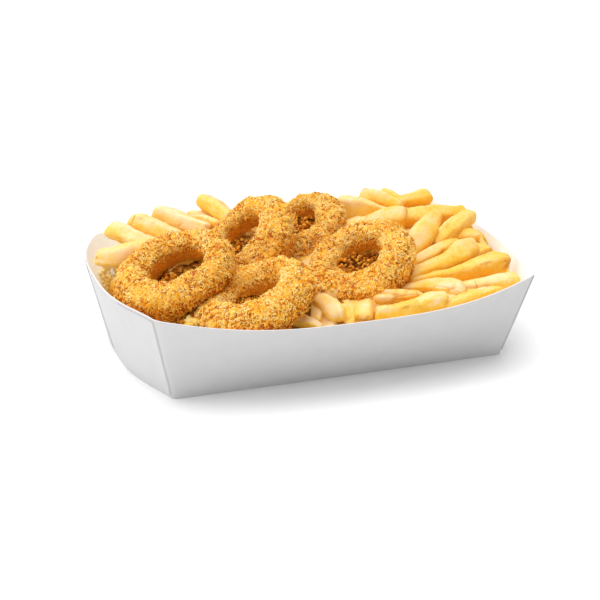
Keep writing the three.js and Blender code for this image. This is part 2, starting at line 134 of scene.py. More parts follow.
def new_piece(name, finish, slot, points, faces, shades=None, rounded=True):
    """A mesh piece of the tray or its food. `shades` are numbers for each point, by name, that
    its finish reads; `rounded` is True, or says for each face whether it is shaded as round."""
    mesh = bpy.data.meshes.new(name)
    mesh.vertices.add(len(points))
    mesh.vertices.foreach_set("co", (np.asarray(points) * MM).astype(np.float32).ravel())
    corners = np.concatenate([part.ravel() for part in faces])
    counts = np.concatenate([np.full(len(part), part.shape[1]) for part in faces])
    mesh.loops.add(len(corners))
    mesh.loops.foreach_set("vertex_index", corners.astype(np.int32))
    mesh.polygons.add(len(counts))
    mesh.polygons.foreach_set("loop_start", (np.cumsum(counts) - counts).astype(np.int32))
    mesh.update(calc_edges=True)
    mesh.polygons.foreach_set("use_smooth", np.full(len(counts), rounded))
    for shade, values in (shades or {}).items():
        attribute = mesh.attributes.new(shade, "FLOAT", "POINT")
        attribute.data.foreach_set("value", np.asarray(values, dtype=np.float32))
    mesh.materials.append(finish)
    piece = bpy.data.objects.new(name, mesh)
    bpy.context.scene.collection.objects.link(piece)
    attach(piece, "root")
    return piece


def tint(red, green, blue):
    """A colour given as screen values from 0 to 255, as the linear values that shaders use."""
    linear = [(c / 12.92 if c <= 0.04045 else ((c + 0.055) / 1.055) ** 2.4)
              for c in (red / 255, green / 255, blue / 255)]     # the sRGB curve, undone
    return (*linear, 1.0)


class Wire:
    """A socket in a material's node tree, which takes part in Python sums."""

    def __init__(self, finish, socket):
        self.finish = finish
        self.socket = socket

    def _sum(self, operation, first, second):
        sockets = {0: first, 1: second}
        return self.finish.node("ShaderNodeMath", {"operation": operation}, sockets)

    def __add__(self, other):
        return self._sum("ADD", self, other)

    def __sub__(self, other):
        return self._sum("SUBTRACT", self, other)

    def __rsub__(self, other):
        return self._sum("SUBTRACT", other, self)

    def __mul__(self, other):
        return self._sum("MULTIPLY", self, other)

    __radd__ = __add__
    __rmul__ = __mul__


class Finish:
    """A material made of shader nodes, all of which node() adds."""

    def __init__(self, name):
        self.material = bpy.data.materials.new(name)
        self.material.use_nodes = True
        self.tree = self.material.node_tree
        self.tree.nodes.clear()

    def node(self, kind, settings=None, sockets=None, output=0):
        """Adds a node with its settings, then its sockets' values or links; gives an output."""
        made = self.tree.nodes.new(kind)
        for name, value in (settings or {}).items():
            if name == "stops":
                ramp = made.color_ramp.elements
                (ramp[0].position, ramp[0].color), (ramp[-1].position, ramp[-1].color) = (
                    value[0], value[-1])
                for place, colour in value[1:-1]:
                    ramp.new(place).color = colour
            else:
                setattr(made, name, value)
        for key, value in (sockets or {}).items():
            socket = self._find(made.inputs, key)
            if isinstance(value, Wire):
                self.tree.links.new(value.socket, socket)
            else:
                socket.default_value = value
        return Wire(self, self._find(made.outputs, output)) if made.outputs else None

    @staticmethod
    def _find(sockets, key):
        if isinstance(key, int):
            return sockets[key]
        return next(s for s in sockets if key in (s.identifier, s.name))

    def shade(self, name):
        """A number that the piece's mesh holds for each of its points."""
        return self.node("ShaderNodeAttribute", {"attribute_name": name}, output="Fac")

    def place(self):
        return self.node("ShaderNodeTexCoord", output="Object")

    def speckle(self, size, detail=3, roughness=0.5):
        """Noise from 0 to 1, its lumps about `size` millimetres across."""
        return self.node("ShaderNodeTexNoise", sockets={
            "Vector": self.place(), "Scale": 1 / (size * MM), "Detail": detail,
            "Roughness": roughness})

    def steps(self, value, low, high):
        """How far a value is from low to high, held from 0 to 1."""
        return self.node("ShaderNodeMapRange", {"interpolation_type": "SMOOTHSTEP"}, {
            "Value": value, "From Min": low, "From Max": high})

    def ramp(self, value, *stops):
        return self.node("ShaderNodeValToRGB", {"stops": stops}, {"Fac": value})

    def blend(self, share, first, second):
        return self.node("ShaderNodeMix", {"data_type": "RGBA"}, {
            "Factor_Float": share, "A_Color": first, "B_Color": second}, "Result_Color")

    def bump(self, height, strength, distance):
        return self.node("ShaderNodeBump", sockets={
            "Height": height, "Strength": strength, "Distance": distance * MM})

    def surface(self, **sockets):
        """The material with its main shader, whose sockets' names have _ for a space."""
        named = {key.replace("_", " "): value for key, value in sockets.items()}
        shader = self.node("ShaderNodeBsdfPrincipled", sockets=named)
        self.node("ShaderNodeOutputMaterial", sockets={"Surface": shader})
        return self.material


def paperboard():
    """White clay-coated board: faint mottling, a dull sheen and grease where food has lain. Its
    outside is coloured grey as painted shade, its inner side has a painted cool tint against the
    warm light bounced off the food, and a painted glow on the inner side stands in for the light
    that comes through, as it is thin."""
    finish = Finish("coated_paperboard")
    mottle = finish.speckle(9, detail=4)
    fibres = finish.speckle(0.5, detail=2)
    # painted shade: the white board's outside is coloured grey
    outside = finish.blend(mottle, tint(199, 198, 198), tint(206, 205, 205))
    # painted light: the inner side gets a cool tint that cancels the warm light bounced off the food
    white = finish.blend(finish.shade("inside"), outside, tint(228, 238, 246))
    edge = finish.blend(finish.shade("cut_edge"), white, tint(222, 221, 219))
    patchy = finish.shade("grease") + 0.7 * finish.speckle(7, detail=5, roughness=0.6) - 0.35
    soaked = finish.steps(patchy, 0.15, 0.95)
    grease = finish.ramp(soaked, (0, tint(250, 240, 220)), (0.5, tint(244, 218, 172)),
                         (1, tint(226, 184, 122)))
    colour = finish.blend(finish.steps(soaked, 0.0, 0.35), edge, grease)
    # painted glow: emission on the board's inner side, standing in for light that comes through the
    # thin board
    through = finish.blend(finish.shade("inside"), (0, 0, 0, 1), (1.0, 0.96, 0.88, 1))
    return finish.surface(
        Base_Color=colour, Roughness=0.62 - 0.2 * soaked,
        Normal=finish.bump(fibres, 0.25, 0.05),
        Emission_Color=through, Emission_Strength=0.2)


PAPERBOARD = paperboard()
EDGE_LOOPS = (0.18, 0.5, 0.82)        # shares of the way over the cut edge, from the outside
EDGE_BULGE = 0.14                     # how far the cut edge stands up in its middle
GREASE_FROM, GREASE_WIDTH = 80, 25    # it starts so far left of the middle, and grows over this


def tray_skin():
    """Up the outside of the walls, over the cut edge, down the inside, and both sides of the
    base: points, faces, and how much cut edge, inner side and grease there is at each point."""
    heights = np.linspace(0, 1, WALL_ROWS)
    lowest = BOARD / RIM_HEIGHT
    outside = [tray_loop(v) for v in heights]
    inside = [offset_loop(tray_loop(max(v, lowest)), -BOARD * STEEP) for v in heights[::-1]]
    inside[-1][:, 2] = BOARD
    edge = []
    for t in EDGE_LOOPS:
        loop = outside[-1] + (inside[0] - outside[-1]) * t
        edge.append(loop + (0, 0, EDGE_BULGE * math.sin(math.pi * t)))
    loops = outside + edge + inside
    columns = len(loops[0])
    points = np.concatenate(loops + [[(0, 0, 0)], [(0, 0, BOARD)]])
    faces = net_faces(len(loops), columns)
    around = np.arange(columns)
    last = (len(loops) - 1) * columns
    middle = len(loops) * columns
    under = np.stack([np.full(columns, middle), (around + 1) % columns, around], axis=1)
    over = np.stack([np.full(columns, middle + 1), last + around,
                     last + (around + 1) % columns], axis=1)
    before_inside = [0.0] * (len(outside) + len(edge))
    is_inside = np.repeat(before_inside + [1.0] * len(inside), columns)
    is_edge = np.repeat([0.0] * len(outside) + [1.0] * len(edge) + [0.0] * len(inside), columns)
    down_inside = np.repeat(before_inside + list(1 - heights[::-1]), columns)
    at_left = np.clip((-points[:-2, 0] - GREASE_FROM) / GREASE_WIDTH, 0, 1)
    grease = is_inside * np.clip(0.8 * at_left + 0.9 * down_inside - 0.75, 0, 1)
    base_middles = [0, 0]
    shades = {"cut_edge": np.append(is_edge, base_middles),
              "inside": np.append(is_inside, base_middles),
              "grease": np.append(grease, base_middles)}
    return points, [faces, under, over], shades


FLAP_COLUMNS, FLAP_ROWS = 16, 12
FLAP_FOOT, FLAP_HEAD = 0.05, 0.97     # shares of the wall's height where a flap starts and ends
FLAP_AT_BASE, FLAP_AT_RIM = 0.40, 0.27  # shares of the wall's length that a flap covers
FLAP_PROUD, FLAP_SUNK = 0.5, 0.3      # how far it stands out of the wall and reaches into it


def flap_skin(index, from_corner):
    """One glue flap: a thin patch on an end wall, which widens towards the base."""
    points = []
    for v in np.linspace(FLAP_FOOT, FLAP_HEAD, FLAP_ROWS):
        width = FLAP_AT_BASE + (FLAP_AT_RIM - FLAP_AT_BASE) * v
        share = width * np.linspace(CORNER_TIP, 1, FLAP_COLUMNS)
        row = wall_points(index, share if from_corner == "first" else 1 - share, v)
        away = np.sign(row[:, :1]) * (1, 0, 0)
        points += [row + away * FLAP_PROUD, (row - away * FLAP_SUNK)[::-1]]
    points = np.concatenate(points)
    loop = 2 * FLAP_COLUMNS
    faces = net_faces(FLAP_ROWS, loop)
    ends = []
    for start in (0, (FLAP_ROWS - 1) * loop):
        near = start + np.arange(FLAP_COLUMNS - 1)
        far = start + loop - 1 - np.arange(FLAP_COLUMNS - 1)
        ends.append(np.stack([near, near + 1, far - 1, far], axis=1))
    return points, [faces, *ends]


def crease(piece, degrees):
    """Leaves an edge sharp wherever its faces turn by more than this."""
    piece.data.set_sharp_from_angle(angle=math.radians(degrees))


SHARP = 40                            # edges of the board that turn by more degrees stay sharp

tray = new_piece("folded_tray", PAPERBOARD, "paperboard", *tray_skin())
crease(tray, SHARP)
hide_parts("tray")
for wall_index, wall_name in ((1, "right"), (3, "left")):
    for corner_name in ("first", "last"):
        flap = new_piece(f"glue_flap_{wall_name}_{corner_name}", PAPERBOARD, "paperboard",
                         *flap_skin(wall_index, corner_name))
        crease(flap, SHARP)

# --------------------------------------------------------------------------------------- fries
# Thick-cut fries of peeled potato, fried pale gold: soft square bars with blunt, uneven ends,
# wrinkled skins and browner edges. They lie loose in the tray, heaped up to the back.

FRY_TURNS = 34                        # points around a fry
FRY_BODY = 34                         # rings of points between a fry's two ends
FRY_END = 7                           # rings of points over each rounded end

# Each fry as the line along its middle, from its tip to where it goes out of sight, as x, y, z
# and the fry's width there: the fan on the right, the one on the left, the short pieces in front
# of the rings, and the ones in the gaps between all these.
RIGHT_FAN = [
    [(36.5, 54, 57, 11), (42, 51, 57, 12.5), (50, 47, 56.5, 11), (59.5, 41, 55, 7.5),
     (65, 39, 54, 6)],
    [(56, 65, 58, 9.5), (60, 60.5, 58, 11), (67, 54, 57, 10), (74, 44.5, 55.5, 5.5)],
    [(71.5, 68.5, 59, 4), (73, 58, 59, 5), (76, 45.5, 57.5, 4)],
    [(97.5, 58.5, 55, 9.5), (91, 57.5, 55.5, 10), (83, 56, 55.5, 8), (68, 56.5, 55, 6)],
    [(67, 20, 57, 13), (60.5, 22, 57, 11.5), (49, 23.5, 56, 8), (25.5, 20, 54.5, 5.5)],
    [(108, 28, 54, 7), (96, 27, 54, 10), (81, 25.5, 54.5, 12), (65.5, 26, 54, 11),
     (52.5, 24.5, 53.5, 10)],
    [(87.5, 23, 57, 6), (75.5, 7, 56, 12), (64, -7.5, 54, 13.5), (51, -15.5, 48, 12.5)],
    [(106.5, 16, 56, 8), (97.5, 9, 56, 9.5), (87.5, 1.5, 54, 10.5), (72.5, -6.5, 48, 9.5)],
    [(102.5, -4, 50, 5.5), (97, -2.5, 50, 7), (81, 5, 48.5, 7)],
    [(86, -12, 51, 4.5), (80.5, -14.5, 51, 6), (71.5, -18.5, 50, 7.5), (60.5, -23.5, 48.5, 7),
     (41.5, -30.5, 45, 5.5)],
    [(90, -23, 51, 9.5), (79.5, -30, 51, 13), (66.5, -37, 49.5, 10), (53.5, -39.5, 47.5, 8),
     (33.5, -42.5, 44, 5.5)],
    [(99.5, -23.5, 48, 7.5), (92, -24.5, 48, 8.5), (72, -33.5, 46.5, 7.5)],
    [(101.5, -43, 47, 10.5), (94, -42, 47, 12.5), (83, -43.5, 46.5, 10), (68.5, -46, 45.5, 7.5),
     (42.5, -44.5, 43.5, 5)],
    [(66.5, -65.5, 42.5, 8), (61, -60, 42.5, 10.5), (51, -53, 43, 7), (39, -51, 43, 4),
     (31.5, -47.5, 42.5, 3.5)],
    [(98.5, -61.5, 44, 8), (91, -60.5, 44, 8.5), (79.5, -60, 43.5, 7.5), (66, -58, 42, 7)],
    [(91, -61, 41.5, 4.5), (73, -68.5, 41, 6.5), (58, -71, 39.5, 6.5), (45, -71, 37, 5)],
    [(41, -61, 42.5, 4), (30.5, -60.5, 42.5, 6.5), (22.5, -59.5, 42.5, 8.5), (19, -54, 41, 8)],
    [(12, -72, 39, 8), (23, -73, 39.5, 8.5), (41.5, -69.5, 39.5, 8)],
    [(53, -70.5, 42, 7.5), (46.5, -70.5, 42, 10), (36.5, -71, 40.5, 8), (21, -68, 36.5, 6)],
]
LEFT_FAN = [
    [(-110, 25, 51.5, 10.5), (-106.5, 20.5, 52, 12), (-92.5, 20, 54, 12), (-73, 19.5, 56, 10)],
    [(-99.5, 60, 55, 8), (-95.5, 55.5, 55, 11), (-89.5, 45, 54, 11), (-79.5, 35, 50, 9.5)],
    [(-84, 70.5, 56, 7), (-79.5, 64.5, 56, 9.5), (-73, 54, 55, 10.5), (-63.5, 39.5, 52, 9)],
    [(-69.5, 72, 58, 7.5), (-65, 67.5, 58, 9.5), (-58, 56, 57, 10), (-46, 41, 55, 8)],
    [(-53, 61.5, 56, 4.5), (-46, 56, 57, 5.5), (-38.5, 43.5, 57, 5)],
    [(-41, 73.5, 63, 9), (-39, 64.5, 63, 11), (-35, 55, 61.5, 10.5), (-31, 42.5, 59, 9)],
]
FRONT_PIECES = [
    [(6.5, -71.5, 36, 10.5), (9.5, -63.5, 36.5, 12), (20, -38.5, 32, 11.5)],
    [(-7.5, -70.5, 38.5, 8), (-7.5, -64.5, 40, 10), (-9, -52, 40.5, 10), (-11.5, -36, 40, 8.5)],
    [(-18.5, -67, 37, 6), (-13.5, -56, 37, 7), (-5, -36.5, 36, 7)],
    [(-17.5, -73.5, 36.5, 3), (-21, -70, 37.5, 5), (-24.5, -64, 37, 7), (-29.5, -55.5, 36, 7)],
    [(-1.5, -69, 35, 6.5), (1, -61, 36, 7), (8, -40, 34, 6.5)],
]
IN_GAPS = [
    [(88, 34, 47, 11), (30, 22, 48, 11)],
    [(98, 24, 45, 11), (52, 50, 47, 11)],
    [(62, 10, 47, 11), (40, 52, 47, 11)],
    [(-14, -44, 43, 11), (1, 2, 42, 11)],
    [(-2, -50, 41, 11), (-30, -11, 42, 11)],
    [(40, 4, 47, 11), (-14, 14.5, 43.5, 11)],
    [(24, 68, 50, 11.5), (36, 65, 50, 11.5), (58, 55, 50, 11.5)],
    [(92, -54, 39.5, 9), (48, -66, 38, 9)],
    [(-90, 27, 46.5, 11), (-50, 29, 48, 11)],
    [(-86, 58, 47, 11), (-56, 34, 47, 11)],
    [(-62, 64, 49, 11), (-42, 30, 48, 11)],
    [(-50, 68, 53, 11), (-20, 54, 53, 11)],
    [(-100, -20, 28, 11), (-66, -31, 32, 11)],
]


def chance(cell, seed):
    """A random number from 0 to 1 for each whole-number cell of space."""
    x, y, z = (cell[..., k].astype(np.int64).astype(np.uint32) for k in range(3))
    mixed = (x * np.uint32(374761393)) ^ (y * np.uint32(668265263)) ^ (z * np.uint32(2147483647))
    mixed = mixed ^ np.uint32(seed * 7919)
    mixed = (mixed ^ (mixed >> np.uint32(13))) * np.uint32(1274126177)
    return ((mixed ^ (mixed >> np.uint32(16))) & np.uint32(0xFFFF)) / 65535


def lumps(points, size, seed=0):
    """Smooth noise from -1 to 1 whose lumps are about `size` across."""
    scaled = points / size
    cell = np.floor(scaled)
    t = scaled - cell
    t = t * t * (3 - 2 * t)
    total = 0
    for corner in itertools.product((0, 1), repeat=3):
        share = np.prod(np.where(corner, t, 1 - t), axis=-1)
        total = total + share * chance(cell + np.array(corner), seed)
    return 2 * total - 1


def smooth(value, low, high):
    """How far a value is from low to high, from 0 to 1 with soft ends."""
    t = np.clip((value - low) / (high - low), 0, 1)
    return t * t * (3 - 2 * t)


FLARE_HEIGHT = 12                     # the food may spread this far out as it rises above the rim


def kept_inside(points, gap=0.5):
    """Points moved in from the tray's walls, and from the flaring room above the rim."""
    points = points.copy()
    x, y, z = points.T
    for index, wall in enumerate(WALLS):
        long_wall = wall["side"] in ("front", "back")
        start, end = BASE_CORNERS[index], BASE_CORNERS[(index + 1) % 4]
        axis, across = (0, 1) if long_wall else (1, 0)
        sign = 1 if wall["side"] in ("back", "right") else -1
        u = (points[:, axis] - start[axis]) / (end[axis] - start[axis])
        for _ in range(3):            # nearer each time to the spot on the wall beside the point
            rim = wall_points(index, np.clip(u, 0, 1), 1)
            v = np.clip(z / rim[:, 2], 0, 1)
            here = wall_points(index, np.clip(u, 0, 1), v)
            u = u + (points[:, axis] - here[:, axis]) / (end[axis] - start[axis])
        flare = np.clip(z - rim[:, 2], 0, FLARE_HEIGHT)
        limit = sign * here[:, across] - (BOARD + gap) * STEEP + flare
        over = sign * points[:, across] - limit
        points[:, across] -= sign * np.clip(over, 0, None)
    return points


def along(path, depth):
    """Points and widths on a smooth curve through a path's points, at depths from its start."""
    path = np.array(path, float)
    steps = np.linalg.norm(np.diff(path[:, :3], axis=0), axis=1)
    knots = np.append(0, np.cumsum(steps))
    slopes = np.gradient(path, knots, axis=0)
    k = np.clip(np.searchsorted(knots, depth, side="right") - 1, 0, len(steps) - 1)
    t = ((depth - knots[k]) / steps[k])[:, None]
    run = steps[k][:, None]
    return (path[k] * (2 * t ** 3 - 3 * t ** 2 + 1) + slopes[k] * run * (t ** 3 - 2 * t ** 2 + t)
            + path[k + 1] * (3 * t ** 2 - 2 * t ** 3) + slopes[k + 1] * run * (t ** 3 - t ** 2))


END_ROUND = 0.42                      # share of a fry's width that its rounded end takes
TURNED = math.radians(20)             # how far round most fries lie turned


def fry_skin(path, seed, fineness):
    """One fry: its points, ring by ring from the tip, how brown and how pale each one is, and
    how many points a ring has."""
    draw = np.random.default_rng(seed)
    turns, body, end = (round(n * fineness) for n in (FRY_TURNS, FRY_BODY, FRY_END))
    length = np.linalg.norm(np.diff(np.array(path)[:, :3], axis=0), axis=1).sum()
    cap = END_ROUND * path[0][3]
    arc = 1 - np.cos(np.linspace(0, math.pi / 2, end, endpoint=False))
    depth = np.concatenate([cap * arc, np.linspace(cap, length - cap, body),
                            length - cap * arc[::-1]])
    line = along(path, depth)
    middle, width = line[:, :3], line[:, 3]
    ahead = unit(np.gradient(middle, depth, axis=0))
    side = unit(np.column_stack([ahead[:, 1], -ahead[:, 0], 0 * depth]))
    up = np.cross(side, ahead)
    near_end = np.minimum(depth, length - depth)
    blunt = draw.uniform(2.4, 3.6)
    fullness = (1 - np.clip(1 - near_end / cap, 0, 1) ** blunt) ** (1 / blunt)
    offset = draw.uniform(0, 900)
    where = np.column_stack([depth, 0 * depth, 0 * depth]) + offset
    waist = 1 + 0.06 * lumps(where, 13, 1) + 0.04 * lumps(where, 6, 2)
    flatness = draw.uniform(0.88, 1.04)
    twist = TURNED + draw.uniform(-0.35, 0.35) + draw.uniform(-0.4, 0.4) * depth / length
    turn = np.linspace(0, 2 * math.pi, turns, endpoint=False)
    # Its section is a square with round corners, and its ends are cut off a little aslant.
    corner = 2 / draw.uniform(3.0, 4.2)
    across = np.sign(np.cos(turn)) * np.abs(np.cos(turn)) ** corner
    tall = np.sign(np.sin(turn)) * np.abs(np.sin(turn)) ** corner
    size = (0.5 * width * fullness * waist)[:, None]
    local_x = size * across
    local_y = size * tall * flatness
    x = local_x * np.cos(twist)[:, None] - local_y * np.sin(twist)[:, None]
    y = local_x * np.sin(twist)[:, None] + local_y * np.cos(twist)[:, None]
    slant = draw.uniform(-0.4, 0.4, 2)
    lean = np.exp(-near_end / (0.6 * width))[:, None] * (slant[0] * local_x + slant[1] * local_y)
    outward = x[..., None] * side[:, None] + y[..., None] * up[:, None]
    points = middle[:, None] + outward + lean[..., None] * ahead[:, None]
    outward /= np.linalg.norm(outward, axis=-1)[..., None] + 1e-6
    # Furrows and cracks run along its skin, and both are sunk a little.
    run = depth[:, None] + 0 * x
    skin = np.stack([run / 4, local_x, local_y], axis=-1) + offset
    wrinkle = lumps(skin, 3.0, 3)
    furrow = smooth(1 - np.abs(wrinkle), 0.88, 1.0) * smooth(lumps(skin, 7, 4), 0.1, 0.6)
    long_way = np.stack([run, local_x / 3, local_y / 3], axis=-1) + offset
    split = lumps(long_way, 5, 9)
    crack = smooth(1 - np.abs(split), 0.93, 1.0) * smooth(lumps(points + offset, 9, 10), 0.3, 0.7)
    dent = (0.6 * lumps(points + offset, 6, 5) + 0.2 * lumps(points, 2.6, 6)
            - 0.35 * furrow - 0.35 * crack)
    relief = np.minimum(1, near_end / cap + 0.3)[:, None] * np.minimum(1, width / 7)[:, None]
    points += outward * (dent * relief)[..., None]
    # It is browner there and at its edges and ends, and paler towards the left; its upper faces are
    # painted paler, a painted highlight where light falls from above.
    edges = np.abs(np.sin(2 * turn)) ** 5 + 0 * local_x
    at_end = np.exp(-near_end / (0.22 * width))[:, None]
    patch = smooth(lumps(points, 7, 7), -0.1, 0.7)
    brown = np.clip(0.4 * edges * patch + 0.5 * at_end * patch + 0.75 * furrow + 0.9 * crack,
                    0, 1)
    # painted highlight: the more a point faces up, the paler it is made
    painted_top_light = smooth(outward[..., 2], -0.2, 0.9)
    grain = np.stack([run / 12, local_x / 1.3, local_y / 1.3], axis=-1) + offset
    streak = lumps(grain, 1, 12)
    leftward = 0.12 - 0.0022 * points[..., 0]
    pale = np.clip(0.1 + 0.45 * painted_top_light + 0.3 * lumps(points, 11, 8) + 0.3 * streak + leftward
                   + draw.uniform(-0.2, 0.2), 0, 1)
    dark_streak = smooth(-streak, 0.35, 0.9) * smooth(lumps(points, 8, 13), 0, 0.6)
    brown = np.clip(brown + 0.35 * dark_streak, 0, 1)
    return points.reshape(-1, 3), brown.ravel(), pale.ravel(), turns


def fried_potato():
    """Pale gold crust over soft potato: it lets some light through, a faint painted glow lifts its
    shaded sides, and it browns along its edges.
    """
    finish = Finish("fried_potato")
    fine = finish.speckle(1.1, detail=4, roughness=0.6)
    cloud = finish.speckle(6, detail=3)
    streaks = finish.speckle(1.8, detail=4, roughness=0.65)
    # pale holds the fry's own paleness and its painted highlight on upper faces
    pale = finish.shade("pale") + 0.5 * cloud + 1.3 * streaks - 0.87
    crust = finish.ramp(pale, (0, tint(240, 178, 44)), (0.4, tint(243, 198, 96)),
                        (1, tint(243, 214, 170)))
    brown = finish.steps(finish.shade("brown") + 0.35 * fine - 0.2, 0.05, 0.8)
    colour = finish.blend(0.8 * brown, crust, tint(206, 124, 26))
    # the emission is a painted golden glow that lifts the shaded sides, standing in for light
    # through the potato
    return finish.surface(
        Base_Color=colour, Roughness=0.42 + 0.2 * fine,
        Normal=finish.bump(fine + 0.5 * finish.speckle(0.35), 0.5, 0.15),
        Subsurface_Weight=0.15, Subsurface_Radius=(1.0, 0.8, 0.35), Subsurface_Scale=0.003,
        Specular_IOR_Level=0.25, Emission_Color=(1.0, 0.6, 0.06, 1), Emission_Strength=0.07)


HEAP = dict(height=41, half_length=112, half_width=84, edge_fall=5, right_rise=5, left_fall=26,
            back_slope=0.08, lump_size=14, lump_height=1.6)
CORE_LIFT, CORE_GAP = 0.4, 2.5        # the core's room over the base and inside the walls
CORE_BRIM, BRIM_DROP = 0.8, 3         # share of the rim's height it fills, less this many mm
CORE_LOOPS = 90                       # loops of points over its top
CORE_SUNK = 1                         # how far its top lies under the bare heap's


def capped_faces(rows, columns):
    """The faces of a closed skin: its sides, and an end at its first and at its last row."""
    end = np.arange(columns)[None, :]
    return [net_faces(rows, columns), end[:, ::-1], (rows - 1) * columns + end]


def heap_height(x, y):
    """Height of the bare heap: it climbs to the back and the right, and falls off to the walls."""
    edge = (x / HEAP["half_length"]) ** 4 + (y / HEAP["half_width"]) ** 4
    spot = np.stack([x / HEAP["lump_size"], y / HEAP["lump_size"], 0 * x + 0.5], axis=-1)
    return (HEAP["height"] + HEAP["right_rise"] * smooth(x, -25, 10)
            - HEAP["left_fall"] * smooth(-x, 78, 106) + HEAP["back_slope"] * y
            - HEAP["edge_fall"] * edge + HEAP["lump_height"] * lumps(spot, 1))


def heap_core():
    """The hidden fries under the ones that show, as one lumpy body that fills the tray."""
    floor = BOARD + CORE_LIFT
    inset = -(BOARD + CORE_GAP) * STEEP
    low, high = offset_loop(tray_loop(0), inset), offset_loop(tray_loop(1), inset)
    brim = CORE_BRIM * high[:, 2] - BRIM_DROP
    shoulder = low + (high - low) * CORE_BRIM
    brim = np.minimum(brim, heap_height(shoulder[:, 0], shoulder[:, 1]))
    loops = [low + (high - low) * (floor + (brim - floor) * share)[:, None] / high[:, 2:]
             for share in (0, 0.45, 0.8, 1)]
    top = loops[-1]
    for share in np.linspace(1, 0.02, CORE_LOOPS)[1:]:
        x, y = top[:, 0] * share, top[:, 1] * share
        loops.append(np.column_stack([x, y, heap_height(x, y) - CORE_SUNK]))
    return np.concatenate(loops), capped_faces(len(loops), len(top))


# The onion rings on top of the heap, from left to right: each leans by `lean` degrees towards the
# heading `towards`. The buried fries, the ones at the back and the crumbs are laid out round them.
RINGS = [
    dict(name="ring_1", at=(-77.5, -13.5, 52), lean=22, towards=203, radius=24.3, tube=7.9,
         oval=0.03, oval_to=20, fat=0.15, fat_to=195),
    dict(name="ring_2", at=(-44.5, -48.5, 44.5), lean=25, towards=176, radius=23.4, tube=9,
         oval=0.03, oval_to=165, fat=0.12, fat_to=150),
    dict(name="ring_3", at=(-32, 16, 52), lean=45, towards=192, radius=23.6, tube=8,
         oval=0.03, oval_to=0, fat=0.2, fat_to=265),
    dict(name="ring_4", at=(4.5, 33, 50.7), lean=30, towards=195, radius=22.5, tube=7.6,
         oval=0.04, oval_to=40, fat=0.15, fat_to=230),
    dict(name="ring_5", at=(21, -27.5, 50), lean=27, towards=202, radius=22.4, tube=8.5,
         oval=0.03, oval_to=60, fat=0.08, fat_to=240),
]
EYE_CLEAR = 19                        # how far the buried fries keep from what an eye looks on
EYE_SEES = (3, 9)                     # from an eye's middle to the middle of what shows in it
BURIED_GRID = (np.arange(-94, 108, 14), np.arange(-64, 76, 12))  # where they lie, along X and Y
BURIED_LIMITS = ((-104, -70), (108, 76))  # the front left and back right ends of their room
BURIED_REACH, BURIED_WIDTH = (15, 25), (9, 12)  # half a buried fry's length, and its width
BURIED_SUNK, FRONT_SUNK = (1, 3.5), 3  # how far below the heap's top, and how much more in front
CRUMB_CORNER = (-42, 14)              # loose crumbs cover the heap left of here and in front


def buried_fries():
    """Fries half sunk in the heap, wherever no ring's eye looks down on it."""
    draw = np.random.default_rng(23)
    seen = [ring["at"][:2] + np.array(EYE_SEES) for ring in RINGS]
    fries = []
    for x, y in itertools.product(*BURIED_GRID):
        middle = np.array([x, y]) + draw.uniform(-5, 5, 2)
        turn = math.radians(draw.uniform(0, 180))
        reach = draw.uniform(*BURIED_REACH) * np.array([math.cos(turn), math.sin(turn)])
        line = np.clip(middle + np.linspace(-1, 1, 5)[:, None] * reach, *BURIED_LIMITS)
        width, sunk = draw.uniform(*BURIED_WIDTH), draw.uniform(*BURIED_SUNK)
        from_eyes = [np.linalg.norm(line - place, axis=1).min() for place in seen]
        among_crumbs = (line.min(axis=0) < CRUMB_CORNER).all()
        if min(from_eyes) > EYE_CLEAR and not among_crumbs:
            in_front = smooth(-line[:, 1], 5, 35)
            heights = heap_height(line[:, 0], line[:, 1]) - sunk - FRONT_SUNK * in_front
            fries.append([(*place, z, width) for place, z in zip(line, heights)])
    return fries


# Fries at random against the back wall: a fan down the heap and a row along the board. For each:
# how many, where along X, the ranges of their tips' Y and Z, of heading and of length, and how
# far they fall to their other ends.
BACK_FRIES = [
    dict(count=5, start=-28, end=60, y=(64, 70), z=(49, 53), heading=(35, 145), length=(32, 40),
         fall=9),
    dict(count=6, start=-52, end=92, y=(70, 75), z=(37, 41), heading=(-9, 12), length=(42, 52),
         fall=-1),
]
BACK_WIDTH = (10, 12)
RING_CLEAR, KEPT_SHARE = 30, 0.35     # one that ends so near a ring's middle is cut to this share


def back_fries():
    """The lines of the fries against the back wall."""
    draw = np.random.default_rng(11)
    fries = []
    for row in BACK_FRIES:
        for k in range(row["count"]):
            x = row["start"] + (row["end"] - row["start"]) * (k + draw.uniform()) / row["count"]
            tip = np.array([x, draw.uniform(*row["y"]), draw.uniform(*row["z"])])
            turn = math.radians(draw.uniform(*row["heading"]))
            run = draw.uniform(*row["length"])
            root = tip - (run * math.cos(turn), run * math.sin(turn), row["fall"])
            from_rings = [np.linalg.norm(root[:2] - ring["at"][:2]) for ring in RINGS]
            if min(from_rings) < RING_CLEAR:
                root = tip + KEPT_SHARE * (root - tip)
            width = draw.uniform(*BACK_WIDTH)
            fries.append([(*tip, width), (*root, width)])
    return fries


def fries_skin(fine_ones, plainer_ones, fineness, seed):
    """Many fries as one skin: points, faces, and how brown and how pale each point is. The
    plainer ones have the share `fineness` of the points."""
    skins, faces, count = [], [], 0
    for number, path in enumerate(fine_ones + plainer_ones):
        share = 1.0 if number < len(fine_ones) else fineness
        points, brown, pale, turns = fry_skin(path, seed + number, share)
        skins.append((kept_inside(points), brown, pale))
        faces += [part + count for part in capped_faces(len(points) // turns, turns)]
        count += len(points)
    points, brown, pale = (np.concatenate(values) for values in zip(*skins))
    return points, faces, {"brown": brown, "pale": pale}


